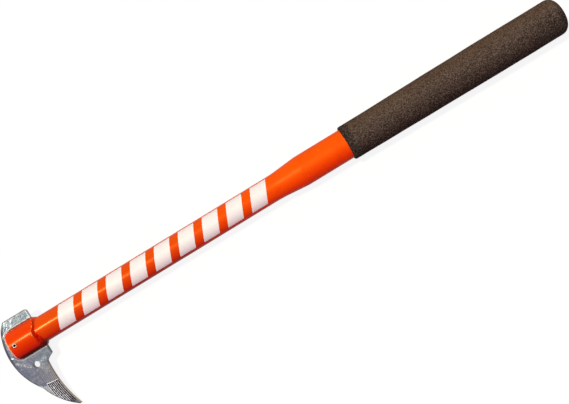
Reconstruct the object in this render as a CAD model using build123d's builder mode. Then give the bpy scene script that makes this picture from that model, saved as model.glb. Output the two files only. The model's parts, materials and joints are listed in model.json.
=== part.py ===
from build123d import *
import math
import os

# Hookaroon: a flat steel hook pinned into the slotted head of a swaged aluminium tube. A welded sleeve
# thickens the head, a film of white bars marks the neck, and a closed foam grip covers the far end.
# Sizes are in millimetres. Every piece is drawn on the hook's own middle plane, called tool: its X runs
# along the handle from the head end of the tube, and its hook side is -Y.

# Handle tube
tube_diameter = 38.1
neck_diameter = 31.75
tube_wall = 3.2
tube_length = 762.0
swage_start = 369.0
swage_length = 35.0
swage_root_radius = 170.0
swage_crest_radius = 60.0
tube_end_break = 0.5

# Slot through the tube and its sleeve, which the plate slides into
slot_length = 36.1
slot_gap = 0.15
slot_end_gap = 0.2

# Sleeve and its weld
sleeve_wall = 3.125
sleeve_gap = 0.05
sleeve_bridge = 1.0
sleeve_rim_radius = 0.9
sleeve_back_bevel = 2.4
weld_length = 6.1

# Spring pin through the sleeve, the tube and the plate
pin_diameter = 5.56
pin_wall = 1.25
pin_slit = 1.2
pin_gap = 0.03
pin_setback = 0.35
pin_end_break = 0.5
pin_from_head = 6.6

# Hook plate
plate_thickness = 6.35
plate_front = -12.65
plate_front_drop = 12.8
poll_height = 31.5
poll_front = 3.0
poll_corner_radius = 3.6
brow_front = -3.5
brow_height = 24.7
heel_drop = 30.2
heel_corner_radius = 2.2
heel_bow = 0.4
throat_corner = 26.6
throat_drop = 35.4
throat_corner_radius = 2.5
throat_bow = 3.8
hook_reach = 99.7
tip_inner = 35.1
tip_width = 2.0
tooth_line_start = 4.0
tooth_line_drop = 60.6
tooth_line_bow = 3.7
edge_bevel = 1.8
bevel_cutter_height = 4.0
bevel_sweep = 60.0
edge_break = 0.4
hang_hole_diameter = 7.94
hang_hole_from_head = 13.1
hang_hole_drop = 32.7

# Grooves cut into both faces of the pick, round the centre of its throat
groove_count = 7
groove_pitch = 2.04
groove_width = 1.5
groove_depth = 1.2
groove_inset = 1.5
groove_drop = 60.95
groove_rise = 0.21
groove_tip_gap = 7.0
groove_cutter_height = 2.4

# Foam grip and the plug under it
grip_length = 301.2
grip_end_wall = 6.0
grip_mouth_diameter = 44.1
grip_diameter = 47.1
grip_flare_length = 197.0
grip_flare_radius = 600.0
grip_mouth_radius = 2.6
grip_end_radius = 11.0
grip_gap = 0.1
plug_length = 16.0
plug_cap = 3.0
plug_wall = 2.4
plug_gap = 0.1
plug_rib_count = 3
plug_rib_height = 0.8
plug_rib_width = 1.5

# Film of leaning bars on the neck
bar_count = 9
bar_pitch = 33.4
bar_width = 21.5
bar_lean = 24.0
bar_far_edge = 14.4
bar_near_edge = 12.6
bars_start = 61.0
film_thickness = 0.25

# Sizes that follow from those
tube_radius = tube_diameter / 2
neck_radius = neck_diameter / 2
sleeve_bore_radius = neck_radius + sleeve_gap
sleeve_radius = sleeve_bore_radius + sleeve_wall
sleeve_length = slot_length + sleeve_bridge
slot_width = plate_thickness + 2 * slot_gap
plate_back = slot_length - slot_end_gap
pin_radius = pin_diameter / 2
pin_hole_radius = pin_radius + pin_gap
pin_length = 2 * (sleeve_radius - pin_setback)
tube_bore_radius = tube_radius - tube_wall
neck_bore_radius = neck_radius - tube_wall
grip_radius = grip_diameter / 2
grip_mouth = grip_mouth_diameter / 2
grip_bore_radius = tube_radius + grip_gap
grip_end = tube_length + grip_end_wall
grip_start = grip_end - grip_length
grip_full = grip_start + grip_flare_length

# The tool lies on three places: the full part of its grip, the rim of its sleeve and the tip of its hook.
# The grip is thicker than the sleeve, which pitches the handle, and the tip drops to the floor, which rolls it.
# The tip is taken as square here, so its bevelled corner stays a fraction of a millimetre up.
pitch = math.atan2(grip_radius - sleeve_radius, grip_full)
tip_touch_height = sleeve_radius + tip_inner * math.tan(pitch)
tip_touch_angle = math.atan2(plate_thickness / 2, hook_reach)
tip_touch_span = math.hypot(plate_thickness / 2, hook_reach)
roll = math.asin(tip_touch_height / tip_touch_span) - tip_touch_angle

# The origin is the middle of the lying tool's footprint, on the floor.
along_handle = Vector(math.cos(pitch), 0, math.sin(pitch))
off_plate = Vector(-math.sin(pitch) * math.cos(roll), -math.sin(roll), math.cos(pitch) * math.cos(roll))
head_end = Vector(
    -(grip_end + plate_front) / 2 * math.cos(pitch),
    (hook_reach - poll_height) / 2 * math.cos(roll),
    sleeve_radius * math.cos(pitch),
)
tool = Plane(origin=head_end, x_dir=along_handle, z_dir=off_plate)
handle_axis = Axis(tool.origin, tool.x_dir)

os.makedirs("parts", exist_ok=True)


# Handle tube: a narrow neck swaged out of a wider tube, slotted and drilled at its head
with BuildPart(tool) as handle_tube:
    with BuildSketch(tool):
        with BuildLine():
            outside = FilletPolyline(
                (0, neck_radius),
                (swage_start, neck_radius),
                (swage_start + swage_length, tube_radius),
                (tube_length, tube_radius),
                radius=[swage_root_radius, swage_crest_radius],
            )
            inside = FilletPolyline(
                (0, neck_bore_radius),
                (swage_start, neck_bore_radius),
                (swage_start + swage_length, tube_bore_radius),
                (tube_length, tube_bore_radius),
                radius=[swage_root_radius, swage_crest_radius],
            )
            Line(outside @ 0, inside @ 0)
            Line(outside @ 1, inside @ 1)
        make_face()
    revolve(axis=handle_axis)
    chamfer(handle_tube.faces().sort_by(handle_axis)[-1].edges(), tube_end_break)
    Box(2 * slot_length, 2 * tube_diameter, slot_width, mode=Mode.SUBTRACT)
    with Locations((pin_from_head, 0, 0)):
        Cylinder(pin_hole_radius, 2 * tube_diameter, mode=Mode.SUBTRACT)

# Sleeve: a short thick collar over the neck, slotted and drilled with the tube
with BuildPart(tool) as head_sleeve:
    with BuildSketch(tool):
        with Locations((0, sleeve_bore_radius)):
            Rectangle(sleeve_length, sleeve_wall, align=Align.MIN)
    revolve(axis=handle_axis)
    fillet(head_sleeve.faces().sort_by(handle_axis)[0].edges().sort_by(SortBy.RADIUS)[-1], sleeve_rim_radius)
    chamfer(head_sleeve.faces().sort_by(handle_axis)[-1].edges().sort_by(SortBy.RADIUS)[-1], sleeve_back_bevel)
    Box(2 * slot_length, 4 * sleeve_radius, slot_width, mode=Mode.SUBTRACT)
    with Locations((pin_from_head, 0, 0)):
        Cylinder(pin_hole_radius, 4 * sleeve_radius, mode=Mode.SUBTRACT)

# Weld: a ring from the sleeve's bevelled back end down to the neck, slotted with them
with BuildPart(tool) as weld_bead:
    with BuildSketch(tool):
        with BuildLine():
            Polyline(
                (sleeve_length - sleeve_back_bevel, sleeve_radius),
                (sleeve_length, sleeve_radius - sleeve_back_bevel),
                (sleeve_length, neck_radius),
                (sleeve_length + weld_length, neck_radius),
                close=True,
            )
        make_face()
    revolve(axis=handle_axis)
    Box(2 * slot_length, 4 * sleeve_radius, slot_width, mode=Mode.SUBTRACT)

# Hook plate: a square poll above the handle, a heel behind the throat and a curved pick below
with BuildPart(tool) as hook_plate:
    with BuildSketch(tool) as hook_outline:
        with BuildLine():
            brow = (brow_front, brow_height)
            throat = (throat_corner, -throat_drop)
            tip_inside = (tip_inner, -hook_reach)
            tip_outside = (tip_inner - tip_width, -hook_reach)
            tooth_line = (tooth_line_start, -tooth_line_drop)
            poll_front_corner = (poll_front, poll_height)
            poll_back_corner = (plate_back, poll_height)
            heel_corner = (plate_back, -heel_drop)
            Polyline(poll_front_corner, poll_back_corner, heel_corner)
            SagittaArc(heel_corner, throat, -heel_bow)
            throat_curve = SagittaArc(throat, tip_inside, -throat_bow)
            Line(tip_inside, tip_outside)
            tooth_curve = SagittaArc(tip_outside, tooth_line, tooth_line_bow)
            back_curve = ThreePointArc(tooth_line, (plate_front, -plate_front_drop), brow)
            brow_cut = Line(brow, poll_front_corner)
        make_face()
        fillet(hook_outline.vertices().sort_by_distance(poll_back_corner)[0], poll_corner_radius)
        fillet(hook_outline.vertices().sort_by_distance(heel_corner)[0], heel_corner_radius)
        fillet(hook_outline.vertices().sort_by_distance(throat)[0], throat_corner_radius)
    extrude(amount=plate_thickness / 2, both=True)
    back_rims = hook_plate.edges().sort_by_distance(tool.from_local_coords((plate_back, 0, 0)))[:2]
    chamfer(back_rims, edge_break)
    front_rims = ShapeList()
    for stretch in (back_curve, brow_cut):
        front_rims += hook_plate.edges().sort_by_distance(tool.from_local_coords(stretch @ 0.5))[:2]
    chamfer(front_rims, edge_bevel)
    tooth_centre = tooth_curve.arc_center
    tooth_axis = Axis(tool.from_local_coords(tooth_centre), tool.z_dir)
    tooth_inward = (tooth_centre - Vector(tooth_line)).normalized()
    tooth_plane = Plane(origin=tooth_line, x_dir=tooth_inward, z_dir=(tooth_inward.Y, -tooth_inward.X, 0))
    with BuildSketch(Plane(tool * tooth_plane)):
        with BuildLine():
            Polyline(
                (edge_bevel - bevel_cutter_height, plate_thickness / 2 - bevel_cutter_height),
                (edge_bevel + bevel_cutter_height, plate_thickness / 2 + bevel_cutter_height),
                (edge_bevel - bevel_cutter_height, plate_thickness / 2 + bevel_cutter_height),
                close=True,
            )
        make_face()
        mirror(about=Plane.XZ)
    revolve(axis=tooth_axis, revolution_arc=bevel_sweep, mode=Mode.SUBTRACT)
    with Locations((hang_hole_from_head, -hang_hole_drop)):
        Hole(hang_hole_diameter / 2)
    with Locations((pin_from_head, 0)):
        Hole(pin_hole_radius)
    throat_centre = throat_curve.arc_center
    throat_axis = Axis(tool.from_local_coords(throat_centre), tool.z_dir)
    tip_turn = math.atan2(-hook_reach - throat_centre.Y, tip_inner - throat_centre.X)
    groove_bottom = plate_thickness / 2 - groove_depth
    cutter_half = groove_width / 2 * groove_cutter_height / groove_depth
    for step in range(groove_count):
        groove_radius = throat_curve.radius + groove_inset + step * groove_pitch
        groove_top = step * groove_rise - groove_drop
        groove_reach = math.sqrt(groove_radius**2 - (groove_top - throat_centre.Y) ** 2)
        groove_start = Vector(throat_centre.X - groove_reach, groove_top)
        groove_turn = math.atan2(groove_top - throat_centre.Y, -groove_reach)
        groove_sweep = math.degrees(tip_turn - groove_turn - groove_tip_gap / groove_radius)
        inward = (throat_centre - groove_start).normalized()
        groove_plane = Plane(origin=groove_start, x_dir=inward, z_dir=(inward.Y, -inward.X, 0))
        with BuildSketch(Plane(tool * groove_plane)):
            with BuildLine():
                Polyline(
                    (-cutter_half, groove_bottom + groove_cutter_height),
                    (0, groove_bottom),
                    (cutter_half, groove_bottom + groove_cutter_height),
                    close=True,
                )
            make_face()
            mirror(about=Plane.XZ)
        revolve(axis=throat_axis, revolution_arc=groove_sweep, mode=Mode.SUBTRACT)

# Spring pin: a rolled tube with an open slit, pressed in below the sleeve's surface
with BuildPart(tool) as spring_pin:
    with BuildSketch(tool.offset(-pin_length / 2)):
        with Locations((pin_from_head, 0)):
            Circle(pin_radius)
            Circle(pin_radius - pin_wall, mode=Mode.SUBTRACT)
            Rectangle(pin_diameter, pin_slit, align=(Align.MIN, Align.CENTER), mode=Mode.SUBTRACT)
    extrude(amount=pin_length)
    chamfer(spring_pin.edges().filter_by(GeomType.CIRCLE).sort_by(SortBy.RADIUS)[-2:], pin_end_break)

# Foam grip: flares from its mouth to its full thickness and closes over the end of the tube
with BuildPart(tool) as foam_grip:
    with BuildSketch(tool) as grip_section:
        with BuildLine():
            Polyline(
                (grip_start, grip_bore_radius),
                (grip_start, grip_mouth),
                (grip_full, grip_radius),
                (grip_end, grip_radius),
                (grip_end, 0),
                (tube_length + grip_gap, 0),
                (tube_length + grip_gap, grip_bore_radius),
                close=True,
            )
        make_face()
        fillet(grip_section.vertices().sort_by_distance((grip_start, grip_mouth))[0], grip_mouth_radius)
        fillet(grip_section.vertices().sort_by_distance((grip_full, grip_radius))[0], grip_flare_radius)
        fillet(grip_section.vertices().sort_by_distance((grip_end, grip_radius))[0], grip_end_radius)
    revolve(axis=handle_axis)

# End plug: a ribbed cup pushed into the tube, flush with its end
with BuildPart(tool) as end_plug:
    plug_radius = tube_bore_radius - plug_gap
    plug_body_radius = plug_radius - plug_rib_height
    with BuildSketch(tool):
        with Locations((tube_length, 0)):
            Rectangle(plug_length, plug_body_radius, align=(Align.MAX, Align.MIN))
        rib_spacing = (plug_length - plug_rib_width) / (plug_rib_count - 1)
        for rib in range(plug_rib_count):
            with Locations((tube_length - rib * rib_spacing, 0)):
                Rectangle(plug_rib_width, plug_radius, align=(Align.MAX, Align.MIN))
        with Locations((tube_length - plug_cap, 0)):
            Rectangle(
                plug_length,
                plug_body_radius - plug_wall,
                align=(Align.MAX, Align.MIN),
                mode=Mode.SUBTRACT,
            )
    revolve(axis=handle_axis)

# Film: leaning bars wrapped over the side of the neck that faces up
with BuildPart(tool) as handle_decal:
    bar_rise = bar_far_edge + bar_near_edge
    bar_shift = bar_rise * math.tan(math.radians(bar_lean))
    with BuildSketch(tool):
        for bar in range(bar_count):
            bar_start = bars_start + bar * bar_pitch
            with BuildLine():
                Polyline(
                    (bar_start, -bar_near_edge),
                    (bar_start + bar_width, -bar_near_edge),
                    (bar_start + bar_width + bar_shift, bar_far_edge),
                    (bar_start + bar_shift, bar_far_edge),
                    close=True,
                )
            make_face()
    extrude(amount=neck_diameter)
    with BuildSketch(tool):
        with Locations((bars_start - bar_pitch, neck_radius)):
            Rectangle((bar_count + 2) * bar_pitch, film_thickness, align=Align.MIN)
    revolve(axis=handle_axis, mode=Mode.INTERSECT)

handle_tube.part.label = "handle_tube"
export_step(handle_tube.part, "parts/handle_tube.step")
head_sleeve.part.label = "head_sleeve"
export_step(head_sleeve.part, "parts/head_sleeve.step")
weld_bead.part.label = "weld_bead"
export_step(weld_bead.part, "parts/weld_bead.step")
hook_plate.part.label = "hook_plate"
export_step(hook_plate.part, "parts/hook_plate.step")
spring_pin.part.label = "spring_pin"
export_step(spring_pin.part, "parts/spring_pin.step")
foam_grip.part.label = "foam_grip"
export_step(foam_grip.part, "parts/foam_grip.step")
end_plug.part.label = "end_plug"
export_step(end_plug.part, "parts/end_plug.step")
handle_decal.part.label = "handle_decal"
export_step(handle_decal.part, "parts/handle_decal.step")
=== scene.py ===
"""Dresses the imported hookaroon: new tube, sleeve, weld and grip, finishes, floor, light, camera."""

import json
import logging
import math
from collections.abc import Callable, Sequence
from dataclasses import dataclass, field
from enum import Enum
from functools import partial, reduce
from typing import Any, NamedTuple, Self

import bmesh
import bpy
from mathutils import Matrix, Vector, noise


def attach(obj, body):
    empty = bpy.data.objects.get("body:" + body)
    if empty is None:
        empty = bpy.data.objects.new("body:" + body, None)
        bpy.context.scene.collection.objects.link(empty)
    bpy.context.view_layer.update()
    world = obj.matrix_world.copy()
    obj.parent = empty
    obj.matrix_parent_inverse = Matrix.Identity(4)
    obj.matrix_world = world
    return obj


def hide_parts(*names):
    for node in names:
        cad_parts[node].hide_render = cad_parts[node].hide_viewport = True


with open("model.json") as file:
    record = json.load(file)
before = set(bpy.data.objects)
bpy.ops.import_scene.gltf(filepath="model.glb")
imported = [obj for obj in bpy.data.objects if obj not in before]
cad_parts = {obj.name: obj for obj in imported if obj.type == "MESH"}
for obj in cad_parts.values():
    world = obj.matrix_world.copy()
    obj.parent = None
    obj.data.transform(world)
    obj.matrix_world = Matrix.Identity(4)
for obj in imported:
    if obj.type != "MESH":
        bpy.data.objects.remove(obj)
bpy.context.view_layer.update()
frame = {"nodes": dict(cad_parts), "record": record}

MM = 0.001
BODY = "root"
WHITE = (1.0, 1.0, 1.0)

Colour = tuple[float, float, float]
Point = tuple[float, float]
Socket = bpy.types.NodeSocket
Feed = Socket | float | Colour

log = logging.getLogger("hookaroon")


class Node(Enum):
    """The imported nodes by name."""

    TUBE = "handle_tube"
    SLEEVE = "head_sleeve"
    WELD = "weld_bead"
    PLATE = "hook_plate"
    PIN = "spring_pin"
    FOAM = "foam_grip"
    PLUG = "end_plug"
    FILM = "handle_decal"


class Slot(Enum):
    """Names of two of the record's material slots."""

    PAINT = "orange_paint"
    FOAM = "foam"


class Crease(Enum):
    """How far an edge turns, in degrees, before it stays crisp."""

    PLAIN = 30.0
    SLEEVE = 35.0
    WELD = 55.0
    FOAM = 60.0


class Ramp(NamedTuple):
    """A range that a value is stretched from, and the range that it is stretched to."""

    start: float
    stop: float
    first: float = 0.0
    last: float = 1.0


class Band(NamedTuple):
    """A band of values: its centre, half its width and the soft edge outside that."""

    centre: float
    half: float
    soft: float


class Cloud(NamedTuple):
    """A noise pattern: its scale per millimetre, its octaves and their roughness."""

    scale: Feed
    detail: float = 2.0
    roughness: float = 0.5


class Blotches(NamedTuple):
    """Values for the shared mottle: the size of its blotches in millimetres, and their contrast."""

    size: float
    contrast: float


class Lines(NamedTuple):
    """Values for the shared scratches: their width in millimetres, and how many show."""

    width: float
    amount: float


class Relief(NamedTuple):
    """A bump: its depth in millimetres, and how much of it shows."""

    depth: float
    strength: float


@dataclass(frozen=True)
class ToolFrame:
    """The tool's axes: along the handle, across it away from the pick, and off the plate's face."""

    origin: Vector
    along: Vector
    across: Vector
    off: Vector

    @classmethod
    def from_record(
        cls, record: dict[str, Any], hole_from_head: float = 13.1, hole_drop: float = 32.7
    ) -> Self:
        """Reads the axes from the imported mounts.

        Args:
            record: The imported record.
            hole_from_head: Distance of the hanging hole along the handle, in millimetres.
            hole_drop: Distance of the hanging hole below the handle's axis, in millimetres.

        Returns:
            The frame, with its origin at the head end of the tube.
        """
        mounts = {mount["name"]: mount for mount in record["mounts"]}
        along = Vector(mounts["grip_end"]["axis"]).normalized()
        off = Vector(mounts["hang_hole"]["axis"]).normalized()
        across = off.cross(along).normalized()
        hole = Vector(mounts["hang_hole"]["pos_m"])
        origin = hole - along * hole_from_head * MM + across * hole_drop * MM
        return cls(origin, along, across, off)

    def place(self, x: float, y: float, z: float) -> Vector:
        """Turns the tool's millimetres into the row's metres."""
        return self.origin + (self.along * x + self.across * y + self.off * z) * MM

    def direction(self, x: float, y: float, z: float) -> Vector:
        """Turns a direction in the tool's axes into a unit vector of the row."""
        return (self.along * x + self.across * y + self.off * z).normalized()

    def matrix(self) -> Matrix:
        """Gives the placing matrix of the tool's axes, in metres."""
        turned = Matrix((self.along, self.across, self.off)).transposed().to_4x4()
        return Matrix.Translation(self.origin) @ turned


class Sheet:
    """Adds shader nodes to one tree and joins them."""

    def __init__(self, tree: bpy.types.NodeTree) -> None:
        """Keeps the tree that nodes go into."""
        self.tree = tree

    def add(
        self, kind: str, values: dict[str | int, Any] | None = None, **settings: Any
    ) -> bpy.types.Node:
        """Adds one node.

        Args:
            kind: Blender's name for the node type.
            values: Socket name or index to a value, or to the socket that feeds it.
            settings: Properties of the node itself.

        Returns:
            The new node.
        """
        node = self.tree.nodes.new(kind)
        for key, value in settings.items():
            setattr(node, key, value)
        for socket, value in (values or {}).items():
            self.feed(node.inputs[socket], value)
        return node

    def feed(self, socket: Socket, value: Any) -> None:
        """Joins another socket to this one, or sets its value.

        Args:
            socket: The input socket.
            value: A socket, a number, a vector or a colour.
        """
        if isinstance(value, Socket):
            self.tree.links.new(value, socket)
        elif isinstance(value, tuple) and len(value) == 3 and socket.type == "RGBA":
            socket.default_value = (*value, 1.0)
        else:
            socket.default_value = value

    def maths(self, operation: str, *values: Feed, clamp: bool = False) -> Socket:
        """Works out one number from one, two or three."""
        settings = {"operation": operation, "use_clamp": clamp}
        return self.add("ShaderNodeMath", dict(enumerate(values)), **settings).outputs[0]

    def vectors(self, operation: str, *values: Any) -> bpy.types.Node:
        """Works on one vector or two."""
        return self.add("ShaderNodeVectorMath", dict(enumerate(values)), operation=operation)

    def product(self, *shares: Feed) -> Feed:
        """Multiplies masks and shares together."""
        return reduce(partial(self.maths, "MULTIPLY"), shares)

    def most(self, *masks: Feed) -> Feed:
        """Gives the largest of several masks."""
        return reduce(partial(self.maths, "MAXIMUM"), masks)

    def less(self, value: Feed, taken: Feed) -> Socket:
        """Takes one number from another."""
        return self.maths("SUBTRACT", value, taken)

    def absolute(self, value: Feed) -> Socket:
        """Gives a number without its sign."""
        return self.maths("ABSOLUTE", value)

    def remap(self, value: Feed, ramp: Ramp) -> Socket:
        """Stretches a value along a ramp, with its ends held."""
        ends = dict(zip(("From Min", "From Max", "To Min", "To Max"), ramp))
        return self.add("ShaderNodeMapRange", {"Value": value, **ends}, clamp=True).outputs[0]

    def band(self, value: Feed, band: Band) -> Socket:
        """Gives 1 inside a band, and fades to 0 over its soft edge."""
        aside = self.absolute(self.less(value, band.centre))
        return self.remap(aside, Ramp(band.half + band.soft, band.half))

    def blend(self, share: Feed, under: Feed, over: Feed) -> Socket:
        """Lays one colour over another by a share from 0 to 1."""
        # A mix node's colour sockets come after those for numbers and vectors
        values = {0: share, 6: under, 7: over}
        return self.add("ShaderNodeMix", values, data_type="RGBA", clamp_factor=True).outputs[2]

    def cloud(self, place: Feed, pattern: Cloud) -> Socket:
        """Adds a noise texture and gives its value."""
        looks = {"Scale": pattern.scale, "Detail": pattern.detail, "Roughness": pattern.roughness}
        return self.add("ShaderNodeTexNoise", {"Vector": place, **looks}).outputs[0]

    def parts(self, place: Feed) -> tuple[Socket, Socket, Socket]:
        """Takes a place apart into its X, Y and Z."""
        return tuple(self.add("ShaderNodeSeparateXYZ", {0: place}).outputs)

    def stretch(self, place: Feed, factors: Sequence[float]) -> Socket:
        """Scales a vector by one factor for each axis."""
        return self.vectors("MULTIPLY", place, tuple(factors)).outputs[0]

    def slope(self, place: Feed, way: Point, start: Point) -> Socket:
        """Gives how far a place lies from a start, along a way in the plate's plane."""
        reach = self.vectors("DOT_PRODUCT", place, (*way, 0.0)).outputs["Value"]
        return self.less(reach, way[0] * start[0] + way[1] * start[1])

    def away(self, place: Feed, centre: Point) -> Socket:
        """Gives the distance from a point of the plate's plane."""
        flat = self.stretch(place, (1.0, 1.0, 0.0))
        return self.vectors("DISTANCE", flat, (*centre, 0.0)).outputs["Value"]

    def reach(self, place: Feed) -> Socket:
        """Gives the distance from the handle's axis."""
        return self.vectors("LENGTH", self.stretch(place, (0.0, 1.0, 1.0))).outputs["Value"]

    def drawn(self, place: Feed, angle: float, draw: float = 1.0) -> Socket:
        """Turns a place, so that its patterns lean, and draws them out along the turned X axis.

        Args:
            place: The place that patterns are read at.
            angle: The turn in the plate's plane, in degrees.
            draw: How many times longer the patterns become.

        Returns:
            The turned and drawn place.
        """
        values = {"Vector": place, "Angle": math.radians(-angle)}
        turned = self.add("ShaderNodeVectorRotate", values, rotation_type="Z_AXIS").outputs[0]
        return self.stretch(turned, (1 / draw, 1.0, 1.0))

    def group(self, tree: bpy.types.NodeTree, **values: Feed) -> bpy.types.Node:
        """Places a shared node group.

        Args:
            tree: The group's tree.
            values: Input name in small letters to what feeds it.

        Returns:
            The group's node.
        """
        node = self.add("ShaderNodeGroup")
        node.node_tree = tree
        for name, value in values.items():
            self.feed(node.inputs[name.capitalize()], value)
        return node


@dataclass
class SharedEffects:
    """Node groups that more than one finish uses."""

    tool: ToolFrame
    broad_detail: float = 3.0
    fine_scale: float = 4.7
    fine_share: float = 0.45
    line_draw: float = 0.045
    line_roughness: float = 0.65
    line_level: float = 0.78
    line_range: float = 0.24
    line_contrast: float = 7.0
    millimetres: bpy.types.NodeTree = field(init=False)
    mottle: bpy.types.NodeTree = field(init=False)
    scratches: bpy.types.NodeTree = field(init=False)

    def __post_init__(self) -> None:
        """Builds every group once."""
        self.millimetres = self._millimetres()
        self.mottle = self._mottle()
        self.scratches = self._scratches()

    @staticmethod
    def _new(
        name: str, inputs: dict[str, float | None], outputs: Sequence[str]
    ) -> bpy.types.NodeTree:
        """Makes an empty group.

        Args:
            name: The group's name.
            inputs: Socket name to its default number, or to None for a vector.
            outputs: Names of the sockets that it puts out.

        Returns:
            The group's tree, with its input and output nodes in it.
        """
        tree = bpy.data.node_groups.new(name, "ShaderNodeTree")
        for label, default in inputs.items():
            kind = "NodeSocketVector" if default is None else "NodeSocketFloat"
            socket = tree.interface.new_socket(label, in_out="INPUT", socket_type=kind)
            if default is not None:
                socket.default_value = default
        for label in outputs:
            kind = "NodeSocketVector" if label == "Place" else "NodeSocketFloat"
            tree.interface.new_socket(label, in_out="OUTPUT", socket_type=kind)
        tree.nodes.new("NodeGroupInput")
        tree.nodes.new("NodeGroupOutput")
        return tree

    @staticmethod
    def _ends(tree: bpy.types.NodeTree) -> tuple[bpy.types.Node, bpy.types.Node]:
        """Gives a group's input and output nodes."""
        return tree.nodes["Group Input"], tree.nodes["Group Output"]

    def _millimetres(self) -> bpy.types.NodeTree:
        """Builds the place on the tool in its own axes, in millimetres.

        Returns:
            The group's tree.
        """
        tree = self._new("tool_millimetres", {}, ["Place"])
        sheet = Sheet(tree)
        back = self.tool.matrix().inverted()
        values = {
            "Vector": sheet.add("ShaderNodeTexCoord").outputs["Object"],
            "Location": back.to_translation() / MM,
            "Rotation": back.to_euler("XYZ"),
            "Scale": (1 / MM,) * 3,
        }
        turned = sheet.add("ShaderNodeMapping", values).outputs[0]
        sheet.feed(self._ends(tree)[1].inputs["Place"], turned)
        return tree

    def _mottle(self) -> bpy.types.NodeTree:
        """Mixes broad and fine noise into one soft mask.

        Returns:
            The group's tree.
        """
        tree = self._new("surface_mottle", {"Place": None, "Size": 10.0, "Contrast": 1.0}, ["Mask"])
        sheet = Sheet(tree)
        given, put = self._ends(tree)
        place, size, contrast = (given.outputs[name] for name in ("Place", "Size", "Contrast"))
        scale = sheet.maths("DIVIDE", 1.0, size)
        broad = sheet.cloud(place, Cloud(scale, self.broad_detail))
        fine = sheet.cloud(place, Cloud(sheet.product(scale, self.fine_scale)))
        broad_part = sheet.product(broad, 1 - self.fine_share)
        joined = sheet.maths("MULTIPLY_ADD", fine, self.fine_share, broad_part)
        middle = 0.5
        sharper = sheet.product(sheet.less(joined, middle), contrast)
        sheet.feed(put.inputs["Mask"], sheet.maths("ADD", sharper, middle, clamp=True))
        return tree

    def _scratches(self) -> bpy.types.NodeTree:
        """Draws thin broken lines along the X axis of the place that it is given.

        Returns:
            The group's tree.
        """
        tree = self._new("fine_scratches", {"Place": None, "Width": 0.4, "Amount": 0.5}, ["Mask"])
        sheet = Sheet(tree)
        given, put = self._ends(tree)
        place, width, amount = (given.outputs[name] for name in ("Place", "Width", "Amount"))
        drawn = sheet.stretch(place, (self.line_draw, 1.0, 1.0))
        scale = sheet.maths("DIVIDE", 1.0, width)
        lines = sheet.cloud(drawn, Cloud(scale, roughness=self.line_roughness))
        edge = sheet.less(self.line_level, sheet.product(amount, self.line_range))
        mask = sheet.maths("MULTIPLY", sheet.less(lines, edge), self.line_contrast, clamp=True)
        sheet.feed(put.inputs["Mask"], mask)
        return tree


class Coat:
    """A material in the making: its nodes, the place on the tool, and the colour so far."""

    def __init__(self, material: bpy.types.Material, effects: SharedEffects) -> None:
        """Finds the shader and the place on the tool.

        Args:
            material: The material, with its nodes.
            effects: The shared node groups.
        """
        self.effects = effects
        self.sheet = Sheet(material.node_tree)
        self.shader = material.node_tree.nodes["Principled BSDF"]
        self.place = self.sheet.group(effects.millimetres).outputs["Place"]
        self.along, self.across, self.off = self.sheet.parts(self.place)
        self.tint: Feed = WHITE

    def lay(self, colour: Feed, *shares: Feed) -> None:
        """Lays a colour over the tint, by the product of its shares."""
        self.tint = self.sheet.blend(self.sheet.product(*shares), self.tint, colour)

    def blotches(self, pattern: Blotches) -> Socket:
        """Gives the shared mottle's mask."""
        values = {"place": self.place, **pattern._asdict()}
        return self.sheet.group(self.effects.mottle, **values).outputs["Mask"]

    def lines(self, pattern: Lines, angle: float = 0.0) -> Socket:
        """Gives the shared scratches' mask, leaning by an angle in degrees.

        Args:
            pattern: The scratches' values.
            angle: How far they lean from the handle, in degrees.

        Returns:
            The mask.
        """
        place = self.sheet.drawn(self.place, angle) if angle else self.place
        values = {"place": place, **pattern._asdict()}
        return self.sheet.group(self.effects.scratches, **values).outputs["Mask"]

    def bump(self, height: Feed, relief: Relief) -> Socket:
        """Turns a height mask into a normal."""
        values = {"Height": height, "Distance": relief.depth * MM, "Strength": relief.strength}
        return self.sheet.add("ShaderNodeBump", values).outputs[0]

    def shade(self, values: dict[str, Feed]) -> None:
        """Gives the shader its tint and its other inputs.

        Args:
            values: Input name to a socket, or to a constant that is set on the input itself.
        """
        for name, value in {"Base Color": self.tint, **values}.items():
            self.sheet.feed(self.shader.inputs[name], value)


@dataclass(frozen=True)
class Finish:
    """What every finish shares: a name, and the making of its material.

    Where a ramp or band is over a place on the tool, it is in millimetres.
    """

    name: str

    def material(self, effects: SharedEffects) -> bpy.types.Material:
        """Builds the finish.

        Args:
            effects: The shared node groups.

        Returns:
            The finished material.
        """
        material = bpy.data.materials.new(self.name)
        material.use_nodes = True
        self._lay_on(Coat(material, effects))
        return material

    def _lay_on(self, coat: Coat) -> None:
        """Lays the finish on a coat, in each finish's own way."""
        raise NotImplementedError


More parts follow.
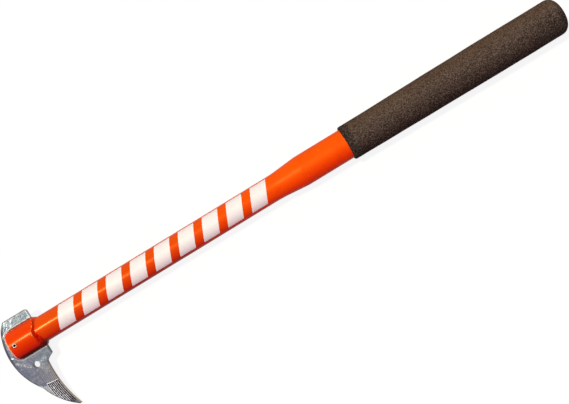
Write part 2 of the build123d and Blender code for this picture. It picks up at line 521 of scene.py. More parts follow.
@dataclass(frozen=True)
class PaintFinish(Finish):
    """Gloss orange paint: redder at the head, with painted shade low down and painted light on the
    wide tube, which is duller.
    """

    name: str = "gloss_orange_paint"
    sleeve_colour: Colour = (0.88, 0.057, 0.001)
    neck_colour: Colour = (0.84, 0.086, 0.003)
    # Painted light: paler paint for the brighter light on the wide tube
    wide_colour: Colour = (1.0, 0.105, 0.001)
    # Painted shade colours for the lower side, at the head and on the wide tube
    low_head_colour: Colour = (0.69, 0.007, 0.001)
    low_wide_colour: Colour = (1.0, 0.034, 0.001)
    patch_colour: Colour = (0.70, 0.030, 0.001)
    chip_colour: Colour = (0.95, 0.32, 0.12)
    # Worn rim colour, also a painted highlight
    rim_colour: Colour = (0.86, 0.52, 0.44)
    # Painted highlight colour for glints on the weld's beads
    bead_colour: Colour = (1.0, 0.60, 0.20)
    # Grime and painted shade colour
    grime_colour: Colour = (0.030, 0.001, 0.0005)
    # Painted shade colour for dark spots on the weld's flank
    deep_colour: Colour = (0.34, 0.001, 0.001)
    gleam_colour: Colour = (1.0, 0.88, 0.72)
    gleam: float = 0.05
    flake: float = 0.075
    behind_sleeve: Ramp = Ramp(36.0, 42.0)
    widening: Ramp = Ramp(230.0, 370.0)
    low_side: Ramp = Ramp(1.0, -13.0, 0.0, 0.9)
    patches: Blotches = Blotches(26.0, 1.6)
    patch_share: Ramp = Ramp(0.5, 0.1, 0.0, 0.3)
    chips: Cloud = Cloud(0.16, 2.0, 0.6)
    chip_share: Ramp = Ramp(0.735, 0.76, 0.0, 0.5)
    peel: Cloud = Cloud(0.45, 2.0, 0.55)
    peel_relief: Relief = Relief(0.05, 0.5)
    dullness: Ramp = Ramp(320.0, 410.0, 0.22, 0.42)
    unevenness: Ramp = Ramp(0.2, 0.8, 0.05, -0.03)
    sleeve_front: float = -1.2
    sleeve_radius: float = 19.05
    sleeve_corner: float = 6.5
    rim_share: Ramp = Ramp(1.6, 1.0, 0.0, 0.85)
    over_neck: Ramp = Ramp(15.975, 16.375)
    under_sleeve: Ramp = Ramp(19.0, 18.55)
    weld_length: Ramp = Ramp(42.5, 38.5)
    weld_side: Ramp = Ramp(12.0, 4.0, 0.1, 0.75)
    deep_spots: Cloud = Cloud(0.32, 1.0)
    deep_share: Ramp = Ramp(0.44, 0.58)
    deep_side: Ramp = Ramp(4.0, -4.0)
    bead_height: Ramp = Ramp(19.17, 19.45)
    bead_length: Ramp = Ramp(29.0, 31.0)
    bead_side: Ramp = Ramp(-3.0, 1.0, 0.0, 0.75)
    pin: Point = (6.6, 0.0)
    pin_ring: Band = Band(3.0, 0.2, 0.3)
    smear: Cloud = Cloud(0.55, 1.0)
    smear_share: Ramp = Ramp(0.40, 0.60, 0.35, 1.0)
    seam_side: Ramp = Ramp(17.85, 18.55)
    seam_length: Ramp = Ramp(42.5, 36.0, 0.0, 0.75)
    under_lean: Ramp = Ramp(-0.68, -0.94)
    under_length: Ramp = Ramp(36.0, 46.5, 0.9, 0.2)

    def _dirt(self, coat: Coat, wider: Feed) -> Feed:
        """Gives the grime and painted shade round the pin, and the painted shade where the sleeve
        meets the plate and under the neck.

        Args:
            coat: The material in the making.
            wider: Mask of the wide part of the tube.

        Returns:
            The mask of grime and painted shade.
        """
        sheet = coat.sheet
        # Grime and painted shade in a ring round the pin
        smear = sheet.remap(sheet.cloud(coat.place, self.smear), self.smear_share)
        ring = sheet.product(sheet.band(sheet.away(coat.place, self.pin), self.pin_ring), smear)
        # Painted shade in the corner where the sleeve meets the plate
        side = sheet.remap(sheet.absolute(coat.across), self.seam_side)
        seam = sheet.product(side, sheet.remap(coat.along, self.seam_length))
        # Painted shade under the neck
        lean = sheet.maths("DIVIDE", coat.across, sheet.reach(coat.place))
        under = sheet.product(
            sheet.remap(lean, self.under_lean),
            sheet.less(1.0, wider),
            sheet.remap(coat.along, self.under_length),
        )
        return sheet.most(ring, seam, under)

    def _rim(self, coat: Coat) -> Socket:
        """Gives the sleeve's front rim, worn and with a painted highlight, which rounds back beside
        the plate.

        Args:
            coat: The material in the making.

        Returns:
            The rim's mask.
        """
        sheet = coat.sheet
        corner = Ramp(self.sleeve_radius - self.sleeve_corner, self.sleeve_radius)
        beside = sheet.remap(sheet.absolute(coat.across), corner)
        arc = sheet.maths("SQRT", sheet.less(1.0, sheet.product(beside, beside)))
        back = sheet.product(sheet.less(1.0, arc), self.sleeve_corner)
        from_front = sheet.less(sheet.less(coat.along, back), self.sleeve_front)
        return sheet.remap(from_front, self.rim_share)

    def _beads(self, coat: Coat) -> Feed:
        """Gives painted glints on the weld's beads, where they stand out of the sleeve.

        Args:
            coat: The material in the making.

        Returns:
            The glints' mask.
        """
        sheet = coat.sheet
        proud = sheet.remap(sheet.reach(coat.place), self.bead_height)
        behind = sheet.remap(coat.along, self.bead_length)
        return sheet.product(proud, behind, sheet.remap(coat.across, self.bead_side))

    def _weld(self, coat: Coat) -> Feed:
        """Gives the weld's flank, where painted shade darkens the paint.

        Args:
            coat: The material in the making.

        Returns:
            The flank's mask.
        """
        sheet = coat.sheet
        reach = sheet.reach(coat.place)
        flank = sheet.product(
            sheet.remap(reach, self.over_neck), sheet.remap(reach, self.under_sleeve)
        )
        before_end = sheet.remap(coat.along, self.weld_length)
        return sheet.product(flank, before_end, sheet.remap(coat.across, self.weld_side))

    def _lay_on(self, coat: Coat) -> None:
        """Lays the paint on a coat.

        Args:
            coat: The material in the making.
        """
        sheet = coat.sheet
        patches = coat.blotches(self.patches)
        wider = sheet.remap(coat.along, self.widening)
        coat.tint = self.sleeve_colour
        coat.lay(self.neck_colour, sheet.remap(coat.along, self.behind_sleeve))
        # Painted light: the wide tube is painted paler
        coat.lay(self.wide_colour, wider)
        # Painted shade: the lower side turns darker and redder, at the head and on the wide tube
        low = sheet.blend(wider, self.low_head_colour, self.low_wide_colour)
        coat.lay(low, sheet.remap(coat.across, self.low_side))
        # Painted shade on the weld's flank, stronger low down and fading towards the upper side
        weld = self._weld(coat)
        coat.lay(self.low_head_colour, weld)
        # Painted shade: dark maroon spots on the lower part of the weld's flank
        deep = sheet.remap(sheet.cloud(coat.place, self.deep_spots), self.deep_share)
        coat.lay(self.deep_colour, weld, deep, sheet.remap(coat.across, self.deep_side))
        coat.lay(self.patch_colour, sheet.remap(patches, self.patch_share))
        chips = sheet.remap(sheet.cloud(coat.place, self.chips), self.chip_share)
        coat.lay(self.chip_colour, chips)
        # Painted highlight: glints on the weld's beads
        coat.lay(self.bead_colour, self._beads(coat))
        # Worn front rim with a painted highlight on it
        coat.lay(self.rim_colour, self._rim(coat))
        # Grime and painted shade: round the pin, where the sleeve meets the plate, and under the neck
        coat.lay(self.grime_colour, self._dirt(coat, wider))
        dull = sheet.remap(coat.along, self.dullness)
        uneven = sheet.remap(patches, self.unevenness)
        coat.shade({
            "Roughness": sheet.maths("ADD", dull, uneven),
            "Normal": coat.bump(sheet.cloud(coat.place, self.peel), self.peel_relief),
            "Metallic": self.flake,
            "Specular IOR Level": self.gleam,
            "Specular Tint": self.gleam_colour,
        })


@dataclass(frozen=True)
class PaleMark:
    """A row of pale marks on the plate, between two of its points, in millimetres: scuffs, and
    painted glints.
    """

    start: Point
    end: Point
    half_width: float
    strength: float
    soft: float = 0.5

    def mask(self, coat: Coat, flecks: Feed = 1.0) -> Feed:
        """Draws the row.

        Args:
            coat: The material in the making.
            flecks: Mask that breaks the row up.

        Returns:
            The row's mask.
        """
        sheet = coat.sheet
        run = Vector(self.end) - Vector(self.start)
        half = run.length / 2
        way = run.normalized()
        on = sheet.slope(coat.place, (way.x, way.y), self.start)
        beside = sheet.slope(coat.place, (-way.y, way.x), self.start)
        return sheet.product(
            sheet.band(on, Band(half, half, self.soft)),
            sheet.band(beside, Band(0.0, self.half_width, self.soft)),
            flecks,
            self.strength,
        )


@dataclass(frozen=True)
class ZincFinish(Finish):
    """Plated steel: streaked, pale poll, blue-grey blade, worn edges, and painted shade, reflection
    and glints on its edges and grooves.
    """

    name: str = "mottled_zinc_plate"
    blade_colour: Colour = (0.082, 0.086, 0.134)
    warm_colour: Colour = (0.185, 0.160, 0.160)
    heel_colour: Colour = (0.092, 0.108, 0.150)
    poll_colour: Colour = (0.150, 0.185, 0.215)
    streak_colour: Colour = (0.76, 0.86, 0.93)
    pale_colour: Colour = (0.56, 0.59, 0.60)
    white_colour: Colour = (0.92, 0.92, 0.92)
    dull_colour: Colour = (0.040, 0.070, 0.105)
    brown_colour: Colour = (0.27, 0.200, 0.135)
    tan_colour: Colour = (0.44, 0.36, 0.26)
    # Painted shade colour for bevels, walls, notches and the tip
    edge_colour: Colour = (0.022, 0.032, 0.055)
    # Painted shade colour for the grooves
    groove_colour: Colour = (0.085, 0.080, 0.095)
    rub_colour: Colour = (0.50, 0.41, 0.38)
    # Grime and painted shade colour beside the sleeve
    grime_colour: Colour = (0.080, 0.026, 0.012)
    land_colour: Colour = (0.52, 0.50, 0.57)
    bright_colour: Colour = (0.84, 0.83, 0.92)
    cut_colour: Colour = (0.150, 0.150, 0.175)
    poll_line_colour: Colour = (0.150, 0.105, 0.120)
    metal: float = 0.7
    dullness: Ramp = Ramp(0.1, 0.9, 0.54, 0.40)
    relief: Relief = Relief(0.10, 0.5)
    mottle_relief: float = 0.6
    grain_relief: float = 0.4

    # The blade's blotches, grain, scuffs and painted glints
    inward: Ramp = Ramp(6.0, 32.0)
    downward: Ramp = Ramp(-34.0, -52.0)
    mottle: Blotches = Blotches(6.0, 2.2)
    smooth: Blotches = Blotches(14.0, 1.4)
    smooth_pale: Ramp = Ramp(0.5, 0.85, 0.0, 0.16)
    smooth_dull: Ramp = Ramp(0.5, 0.15, 0.0, 0.22)
    rough: Blotches = Blotches(3.4, 2.6)
    rough_height: Ramp = Ramp(-60.0, -20.0, 0.6, 1.0)
    rough_pale: Ramp = Ramp(0.45, 0.95, 0.0, 0.20)
    rough_dull: Ramp = Ramp(0.45, 0.05, 0.0, 0.40)
    grain: Lines = Lines(0.5, 0.5)
    grain_angle: float = 85.6
    grain_share: Ramp = Ramp(-12.0, -50.0, 0.05, 0.30)
    flecks: Cloud = Cloud(1.1, 2.0, 0.6)
    fleck_share: Ramp = Ramp(0.50, 0.62)
    # A painted glint on the bevel near the sleeve
    nick: PaleMark = PaleMark((-9.3, -11.6), (-7.3, -12.8), 0.2, 1.0)
    scuffs: tuple[PaleMark, ...] = (
        PaleMark((-8.2, -19.2), (6.0, -31.8), 1.4, 0.60),
        PaleMark((16.6, -32.8), (27.0, -29.8), 1.8, 0.60),
        PaleMark((18.0, -37.0), (20.0, -48.0), 3.0, 0.25),
        # A painted highlight on the poll near the sleeve
        PaleMark((31.5, 20.6), (35.0, 20.9), 1.0, 0.90),
    )

    # The poll's streaks
    poll_height: Ramp = Ramp(-14.0, 18.0)
    streaks: Cloud = Cloud(1.0, 3.0, 0.7)
    streak_angle: float = 38.0
    streak_draw: float = 5.0
    streak_front: Ramp = Ramp(28.0, -4.0, 0.25, 1.0)
    streak_pale: Ramp = Ramp(0.50, 0.62)
    streak_dull: Ramp = Ramp(0.48, 0.36, 0.0, 0.75)
    poll_dull: Ramp = Ramp(0.40, 0.12, 0.0, 0.8)

    # The cut grooves, the lands between them and the bevel of the teeth
    tooth_centre: Point = (81.449, -33.338)
    tooth_radius: float = 82.107
    shoulder: Point = (12.47, -61.2)
    shoulder_tilt: float = 7.0
    # Painted highlight with edge wear: the white line along the shoulder
    shoulder_line: Band = Band(-1.75, 0.25, 0.35)
    shoulder_share: float = 0.6
    groove_radius: float = 154.02
    groove_pitch: float = 2.04
    groove_count: int = 7
    groove_soft: float = 0.3
    cut_edge: Ramp = Ramp(0.75, 0.35)
    cut_share: float = 0.6
    land_edge: Ramp = Ramp(0.60, 0.90)
    land_share: Ramp = Ramp(10.0, 2.5, 0.28, 0.90)
    started: Ramp = Ramp(-0.1, 0.4)
    ghost: Ramp = Ramp(-18.0, -0.5, 0.0, 0.42)
    bare_side: Ramp = Ramp(-0.9, -1.3)
    bare_start: Ramp = Ramp(-0.8, 0.4)
    bare_stop: Ramp = Ramp(18.0, 8.0, 0.0, 0.30)
    tip_lean: float = 1.6
    tip_fade: Ramp = Ramp(43.0, 36.0)
    tip_dark: Ramp = Ramp(36.0, 43.0, 0.0, 0.36)
    facet_width: Ramp = Ramp(2.0, 1.2)
    facet_start: Ramp = Ramp(-4.0, 0.0)
    # Painted reflection and painted shade on the bevel of the teeth
    facet_pale: Ramp = Ramp(28.0, 22.0, 0.0, 0.55)
    facet_dark: Ramp = Ramp(22.0, 28.0, 0.0, 0.75)
    facet_cuts: Ramp = Ramp(2.0, 5.0, 0.0, 0.8)
    speck: Point = (16.2, -67.4)
    speck_share: Ramp = Ramp(1.5, 0.8, 0.0, 0.95)

    # The outline: throat, back, heel, brow and top
    back_centre: Point = (66.134, -12.157)
    back_radius: float = 78.787
    throat_centre: Point = (166.153, -49.664)
    throat_radius: float = 140.280
    below_heel: Ramp = Ramp(-37.0, -44.0)
    throat_strip: Ramp = Ramp(1.1, 0.4, 0.0, 0.75)
    throat_wall: Ramp = Ramp(0.45, 0.25, 0.0, 0.9)
    throat_dark: Ramp = Ramp(-68.0, -58.0, 0.0, 0.65)
    # Painted shade along the back and by the heel
    back_band: Ramp = Ramp(3.7, 2.9, 0.0, 0.92)
    back_band_height: Ramp = Ramp(-30.0, -14.0)
    back_line: Ramp = Ramp(0.9, 0.5, 0.0, 0.85)
    back_line_height: Ramp = Ramp(-57.0, -50.0)
    heel_line: Ramp = Ramp(35.0, 35.5)
    heel_height: Ramp = Ramp(-17.0, -20.0)
    brow: Point = (-3.5, 24.7)
    brow_way: Point = (0.723, -0.691)
    brow_width: Ramp = Ramp(2.0, 1.2, 0.0, 0.7)
    poll_top: Ramp = Ramp(30.0, 30.6, 0.0, 0.8)

    # The rubbed line, and the grime and painted shade beside the sleeve
    sleeve_radius: float = 19.05
    rub_round: float = 9.0
    rub_corner: float = 3.9
    rub_line: Band = Band(1.3, 0.25, 0.4)
    rub_height: Ramp = Ramp(-19.0, 19.0, 0.35, 0.65)
    rub_start: Ramp = Ramp(-7.0, -4.0)
    seam_width: Ramp = Ramp(0.9, 0.5)
    seam_height: Ramp = Ramp(-19.0, 19.0, 0.5, 0.95)
    seam_start: Ramp = Ramp(2.0, 6.0)

    # The hanging hole and the cut sides
    hole: Point = (13.1, -32.7)
    # Painted shade on the hole's wall and rim
    hole_wall: Ramp = Ramp(4.07, 4.02)
    hole_rim: Band = Band(4.32, 0.3, 0.25)
    hole_side: Ramp = Ramp(12.1, 10.1, 0.0, 0.7)
    side_depth: Ramp = Ramp(2.975, 2.625)
    side_draw: float = 0.08
    side_lines: Cloud = Cloud(1.4, 2.0, 0.6)
    side_share: Ramp = Ramp(0.35, 0.6, 0.9, 0.45)
    bevel_width: Ramp = Ramp(1.8, 1.4, 1.0, 0.35)
    poll_back: Ramp = Ramp(34.0, 34.5, 0.0, 0.45)
    poll_back_height: Ramp = Ramp(18.0, 20.0)

    def _from_back(self, coat: Coat) -> Socket:
        """Gives the distance inside the plate's round back."""
        return coat.sheet.less(self.back_radius, coat.sheet.away(coat.place, self.back_centre))

    def _from_throat(self, coat: Coat) -> Socket:
        """Gives the distance inside the plate's throat."""
        return coat.sheet.less(coat.sheet.away(coat.place, self.throat_centre), self.throat_radius)

    def _blade(self, coat: Coat) -> None:
        """Lays the blade's colours and blotches.

        Args:
            coat: The material in the making.
        """
        sheet = coat.sheet
        lower = sheet.remap(coat.across, self.downward)
        inner = sheet.blend(lower, self.heel_colour, self.warm_colour)
        coat.tint = self.blade_colour
        coat.lay(inner, sheet.remap(self._from_back(coat), self.inward))
        smooth = coat.blotches(self.smooth)
        coat.lay(self.pale_colour, sheet.remap(smooth, self.smooth_pale))
        coat.lay(self.dull_colour, sheet.remap(smooth, self.smooth_dull))
        calmer = sheet.remap(coat.across, self.rough_height)
        rough = sheet.product(coat.blotches(self.rough), calmer)
        coat.lay(self.pale_colour, sheet.remap(rough, self.rough_pale))
        coat.lay(self.dull_colour, sheet.remap(rough, self.rough_dull))

    def _poll(self, coat: Coat, mottle: Feed) -> Socket:
        """Gives the poll its pale streaks and blue blotches.

        Args:
            coat: The material in the making.
            mottle: The plate's blotches.

        Returns:
            The poll's colour.
        """
        sheet = coat.sheet
        leaning = sheet.drawn(coat.place, self.streak_angle, self.streak_draw)
        streaks = sheet.cloud(leaning, self.streaks)
        front = sheet.remap(coat.along, self.streak_front)
        pale = sheet.product(sheet.remap(streaks, self.streak_pale), front)
        tint = sheet.blend(pale, self.poll_colour, self.streak_colour)
        tint = sheet.blend(sheet.remap(streaks, self.streak_dull), tint, self.dull_colour)
        return sheet.blend(sheet.remap(mottle, self.poll_dull), tint, self.dull_colour)

    def _teeth(self, coat: Coat) -> None:
        """Darkens the cut grooves with painted shade, brightens the lands, and paints a highlight
        with edge wear along the shoulder where they start; paints reflection and shade on the teeth's
        bevel.

        Args:
            coat: The material in the making.
        """
        sheet = coat.sheet
        tilt = math.radians(self.shoulder_tilt)
        over = sheet.less(self.groove_radius, sheet.away(coat.place, self.throat_centre))
        below = sheet.slope(coat.place, (-math.sin(tilt), -math.cos(tilt)), self.shoulder)
        from_teeth = sheet.less(self.tooth_radius, sheet.away(coat.place, self.tooth_centre))
        span = self.groove_pitch * (self.groove_count - 1) / 2
        among = sheet.band(over, Band(span, span + self.groove_pitch / 2, self.groove_soft))
        groove = sheet.maths("PINGPONG", over, self.groove_pitch / 2)
        cut = sheet.remap(groove, self.cut_edge)
        land = sheet.remap(groove, self.land_edge)

        ghost = sheet.product(sheet.remap(below, self.ghost), among)
        coat.lay(self.land_colour, land, ghost)
        coat.lay(self.groove_colour, cut, ghost)
        towards_tip = sheet.maths("MULTIPLY_ADD", over, self.tip_lean, below)
        started = sheet.product(sheet.remap(below, self.started), among)
        deep = sheet.product(started, sheet.remap(towards_tip, self.tip_fade))
        coat.lay(self.bright_colour, land, deep, sheet.remap(from_teeth, self.land_share))
        # Painted shade in the cut grooves
        coat.lay(self.groove_colour, cut, deep, self.cut_share)
        # Painted shade towards the tip
        coat.lay(self.edge_colour, sheet.remap(towards_tip, self.tip_dark))
        bare = sheet.product(sheet.remap(over, self.bare_side), sheet.remap(below, self.bare_start))
        coat.lay(self.pale_colour, bare, sheet.remap(below, self.bare_stop))

        bevel = sheet.remap(from_teeth, self.facet_width)
        facet = sheet.product(bevel, sheet.remap(below, self.facet_start))
        # Painted reflection on the upper part of the teeth's bevel
        coat.lay(self.pale_colour, facet, sheet.remap(below, self.facet_pale))
        # Painted shade on its lower part
        coat.lay(self.edge_colour, facet, sheet.remap(below, self.facet_dark))
        # Painted shade in the notches that the grooves cut in the bevel
        coat.lay(self.edge_colour, facet, cut, sheet.remap(below, self.facet_cuts))
        speck = sheet.remap(sheet.away(coat.place, self.speck), self.speck_share)
        coat.lay(self.white_colour, speck)
        # Painted highlight with edge wear: the white shoulder line where the grooves start
        shoulder = sheet.band(below, self.shoulder_line)
        coat.lay(self.white_colour, shoulder, among, self.shoulder_share)

    def _outline(self, coat: Coat) -> None:
        """Browns the throat's edge, paints shade along the back and the heel, and rubs the brow.

        Args:
            coat: The material in the making.
        """
        sheet, height = coat.sheet, coat.across
        strip = sheet.remap(self._from_throat(coat), self.throat_strip)
        coat.lay(self.brown_colour, strip, sheet.remap(height, self.below_heel))
        from_back = self._from_back(coat)
        # Painted shade: the back's band, its lower line and the heel's line
        dark = [
            sheet.product(sheet.remap(value, width), sheet.remap(height, reach))
            for value, width, reach in (
                (from_back, self.back_band, self.back_band_height),
                (from_back, self.back_line, self.back_line_height),
                (coat.along, self.heel_line, self.heel_height),
            )
        ]
        coat.lay(self.edge_colour, sheet.most(*dark))
        from_brow = sheet.slope(coat.place, self.brow_way, self.brow)
        coat.lay(self.pale_colour, sheet.remap(from_brow, self.brow_width))
        coat.lay(self.poll_line_colour, sheet.remap(height, self.poll_top))

    def _beside_sleeve(self, coat: Coat) -> None:
        """Draws the rubbed line, and the grime and painted shade, that follow the sleeve's round
        front.

        Args:
            coat: The material in the making.
        """
        sheet = coat.sheet
        beside = sheet.less(sheet.absolute(coat.across), self.sleeve_radius)
        round_x = sheet.most(sheet.less(self.rub_corner, coat.along), 0.0)
        round_y = sheet.most(sheet.maths("ADD", beside, self.rub_round), 0.0)
        square_y = sheet.product(round_y, round_y)
        squares = sheet.maths("MULTIPLY_ADD", round_x, round_x, square_y)
        outside = sheet.less(sheet.maths("SQRT", squares), self.rub_round)
        rubbed = sheet.product(
            sheet.band(outside, self.rub_line), sheet.remap(coat.across, self.rub_height)
        )
        coat.lay(self.rub_colour, rubbed, sheet.remap(beside, self.rub_start))
        # Grime and painted shade in the corner beside the sleeve
        seam = sheet.product(
            sheet.remap(outside, self.seam_width), sheet.remap(coat.across, self.seam_height)
        )
        coat.lay(self.grime_colour, seam, sheet.remap(coat.along, self.seam_start))

    def _cut_sides(self, coat: Coat) -> None:
        """Paints shade on the hole's wall and rim, darkens the sheared sides, and tans the wall of
        the throat, with painted shade at its lower end.

        Args:
            coat: The material in the making.
        """
        sheet, height = coat.sheet, coat.across
        from_hole = sheet.away(coat.place, self.hole)
        # Painted shade on the hole's wall
        coat.lay(self.edge_colour, sheet.remap(from_hole, self.hole_wall))
        rim = sheet.band(from_hole, self.hole_rim)
        # Painted shade on the hole's rim, where its wall shows
        coat.lay(self.edge_colour, rim, sheet.remap(coat.along, self.hole_side))
        lines = sheet.cloud(sheet.stretch(coat.place, (1.0, 1.0, self.side_draw)), self.side_lines)
        side = sheet.remap(sheet.absolute(coat.off), self.side_depth)
        bevelled = sheet.remap(self._from_back(coat), self.bevel_width)
        coat.lay(self.cut_colour, side, bevelled, sheet.remap(lines, self.side_share))
        poll_back = sheet.remap(coat.along, self.poll_back)
        coat.lay(self.pale_colour, poll_back, sheet.remap(height, self.poll_back_height))
        throat = sheet.remap(self._from_throat(coat), self.throat_wall)
        wall = sheet.product(throat, sheet.remap(height, self.below_heel))
        coat.lay(self.tan_colour, wall)
        # Painted shade on the lower end of the throat's wall
        coat.lay(self.edge_colour, wall, sheet.remap(height, self.throat_dark))

    def _lay_on(self, coat: Coat) -> None:
        """Lays the plated steel on a coat.

        Args:
            coat: The material in the making.
        """
        sheet = coat.sheet
        self._blade(coat)
        grain = coat.lines(self.grain, self.grain_angle)
        coat.lay(self.pale_colour, grain, sheet.remap(coat.across, self.grain_share))
        mottle = coat.blotches(self.mottle)
        coat.lay(self._poll(coat, mottle), sheet.remap(coat.across, self.poll_height))
        flecks = sheet.remap(sheet.cloud(coat.place, self.flecks), self.fleck_share)
        # Pale scuffs, and one painted highlight on the poll
        for mark in self.scuffs:
            coat.lay(self.pale_colour, mark.mask(coat, flecks))
        self._teeth(coat)
        self._outline(coat)
        self._beside_sleeve(coat)
        self._cut_sides(coat)
        # Painted glint on the bevel near the sleeve
        coat.lay(self.white_colour, self.nick.mask(coat))
        grain_part = sheet.product(grain, self.grain_relief)
        height = sheet.maths("MULTIPLY_ADD", mottle, self.mottle_relief, grain_part)
        coat.shade({
            "Roughness": sheet.remap(mottle, self.dullness),
            "Normal": coat.bump(height, self.relief),
            "Metallic": self.metal,
        })


@dataclass(frozen=True)
class PinFinish(Finish):
    """Bright spring steel with turning marks, a bore painted black as shade, and paint on the rim of
    its ends.
    """

    name: str = "bright_spring_steel"
    colour: Colour = (1.0, 0.93, 0.74)
    worn_colour: Colour = (1.0, 0.86, 0.62)
    # Painted shade: black for the bore
    bore_colour: Colour = (0.001, 0.001, 0.001)
    paint_colour: Colour = (0.45, 0.050, 0.010)
    centre: Point = (6.6, 0.0)
    lines: Lines = Lines(0.2, 0.6)
    mottle: Blotches = Blotches(1.6, 1.4)
    worn_share: float = 0.5
    bore: Ramp = Ramp(1.65, 1.59)
    rim: Ramp = Ramp(2.4, 2.65)
    ends: Ramp = Ramp(17.0, 17.5)
    dullness: Ramp = Ramp(0.0, 1.0, 0.45, 0.60)
    gleam: float = 0.0

    def _lay_on(self, coat: Coat) -> None:
        """Lays the pin's steel on a coat.

        Args:
            coat: The material in the making.
        """
        sheet = coat.sheet
        mottle = coat.blotches(self.mottle)
        coat.tint = self.colour
        coat.lay(self.worn_colour, sheet.most(coat.lines(self.lines), mottle), self.worn_share)
        from_centre = sheet.away(coat.place, self.centre)
        near_end = sheet.remap(sheet.absolute(coat.off), self.ends)
        coat.lay(self.paint_colour, sheet.remap(from_centre, self.rim), near_end)
        # Painted shade: the bore is painted black
        coat.lay(self.bore_colour, sheet.remap(from_centre, self.bore))
        coat.shade({
            "Roughness": sheet.remap(mottle, self.dullness),
            "Specular IOR Level": self.gleam,
        })


@dataclass(frozen=True)
class FoamFinish(Finish):
    """Closed-cell foam: olive-brown, speckled by its pores, with painted shade low down, at its mouth
    and closed end, and painted light on top.
    """

    name: str = "closed_cell_foam"
    colour: Colour = (0.086, 0.061, 0.046)
    shade_colour: Colour = (0.024, 0.016, 0.014)
    pore_colour: Colour = (0.010, 0.006, 0.005)
    rubbed_colour: Colour = (0.250, 0.195, 0.155)
    # Painted shade colour for the lower side
    low_colour: Colour = (0.019, 0.007, 0.007)
    # Painted light colour for the upper side
    high_colour: Colour = (0.120, 0.070, 0.036)
    low_side: Ramp = Ramp(4.0, -19.0, 0.0, 0.92)
    high_side: Ramp = Ramp(4.0, 18.0, 0.0, 0.6)
    broad: Blotches = Blotches(30.0, 1.5)
    broad_share: Ramp = Ramp(0.5, 0.15, 0.0, 0.25)
    lip: Ramp = Ramp(480.8, 471.8, 0.0, 0.95)
    far_end: Ramp = Ramp(708.0, 758.0, 0.0, 0.95)
    far_side: Ramp = Ramp(12.0, -8.0)
    speckle: Blotches = Blotches(1.5, 3.6)
    rubbed_share: Ramp = Ramp(0.5, 0.95, 0.0, 0.62)
    hollow_share: Ramp = Ramp(0.5, 0.1, 0.0, 0.85)
    cell_scale: float = 0.95
    pore_edge: Ramp = Ramp(0.34, 0.12)
    pore_share: float = 0.4
    pore_depth: float = 0.6
    relief: Relief = Relief(0.30, 0.6)
    dullness: Ramp = Ramp(0.0, 1.0, 1.0, 0.85)
    gleam: float = 0.05

    def _lay_on(self, coat: Coat) -> None:
        """Lays the foam on a coat.

        Args:
            coat: The material in the making.
        """
        sheet = coat.sheet
        coat.tint = self.colour
        # Painted shade on the lower side
        coat.lay(self.low_colour, sheet.remap(coat.across, self.low_side))
        # Painted light on the upper side
        coat.lay(self.high_colour, sheet.remap(coat.across, self.high_side))
        coat.lay(self.shade_colour, sheet.remap(coat.blotches(self.broad), self.broad_share))
        # Painted shade in the mouth's lip and on the low side of the closed end
        lip = sheet.remap(coat.along, self.lip)
        low_far = sheet.remap(coat.across, self.far_side)
        far = sheet.product(sheet.remap(coat.along, self.far_end), low_far)
        coat.lay(self.shade_colour, sheet.most(lip, far))
        speckle = coat.blotches(self.speckle)
        coat.lay(self.rubbed_colour, sheet.remap(speckle, self.rubbed_share))
        coat.lay(self.pore_colour, sheet.remap(speckle, self.hollow_share))
        cells = sheet.add("ShaderNodeTexVoronoi", {"Vector": coat.place, "Scale": self.cell_scale})
        pores = sheet.remap(cells.outputs["Distance"], self.pore_edge)
        coat.lay(self.pore_colour, pores, self.pore_share)
        height = sheet.less(speckle, sheet.product(pores, self.pore_depth))
        coat.shade({
            "Roughness": sheet.remap(speckle, self.dullness),
            "Normal": coat.bump(height, self.relief),
            "Specular IOR Level": self.gleam,
        })


@dataclass(frozen=True)
class FilmFinish(Finish):
    """White vinyl film with a soft gloss, a little handling dirt, and painted lilac shade on its
    lower side.
    """

    name: str = "white_vinyl_film"
    colour: Colour = (0.93, 0.92, 0.90)
    dirt_colour: Colour = (0.72, 0.62, 0.62)
    low_colour: Colour = (0.98, 0.74, 0.87)
    low_side: Ramp = Ramp(-1.0, -12.0, 0.0, 0.6)
    dirt: Blotches = Blotches(9.0, 2.2)
    dirt_share: Ramp = Ramp(0.62, 1.0, 0.0, 0.35)
    lines: Lines = Lines(0.5, 0.3)
    line_angle: float = 66.0
    line_share: float = 0.2
    relief: Relief = Relief(0.03, 0.4)
    dullness: Ramp = Ramp(0.0, 1.0, 0.34, 0.50)
    gleam: float = 0.20

    def _lay_on(self, coat: Coat) -> None:
        """Lays the film's looks on a coat.

        Args:
            coat: The material in the making.
        """
        sheet = coat.sheet
        dirt = coat.blotches(self.dirt)
        lines = sheet.product(coat.lines(self.lines, self.line_angle), self.line_share)
        coat.tint = self.colour
        # Painted shade: the lower side turns lilac
        coat.lay(self.low_colour, sheet.remap(coat.across, self.low_side))
        coat.lay(self.dirt_colour, sheet.most(sheet.remap(dirt, self.dirt_share), lines))
        coat.shade({
            "Roughness": sheet.remap(dirt, self.dullness),
            "Normal": coat.bump(dirt, self.relief),
            "Specular IOR Level": self.gleam,
        })


@dataclass(frozen=True)
class PlugFinish(Finish):
    """Moulded black plastic with a fine texture."""

    name: str = "moulded_black_plastic"
    colour: Colour = (0.022, 0.022, 0.024)
    worn_colour: Colour = (0.055, 0.055, 0.058)
    grain: Blotches = Blotches(1.2, 1.6)
    relief: Relief = Relief(0.06, 0.5)
    dullness: Ramp = Ramp(0.0, 1.0, 0.42, 0.6)

    def _lay_on(self, coat: Coat) -> None:
        """Lays the plastic on a coat.

        Args:
            coat: The material in the making.
        """
        grain = coat.blotches(self.grain)
        coat.tint = self.colour
        coat.lay(self.worn_colour, grain)
        coat.shade({
            "Roughness": coat.sheet.remap(grain, self.dullness),
            "Normal": coat.bump(grain, self.relief),
        })


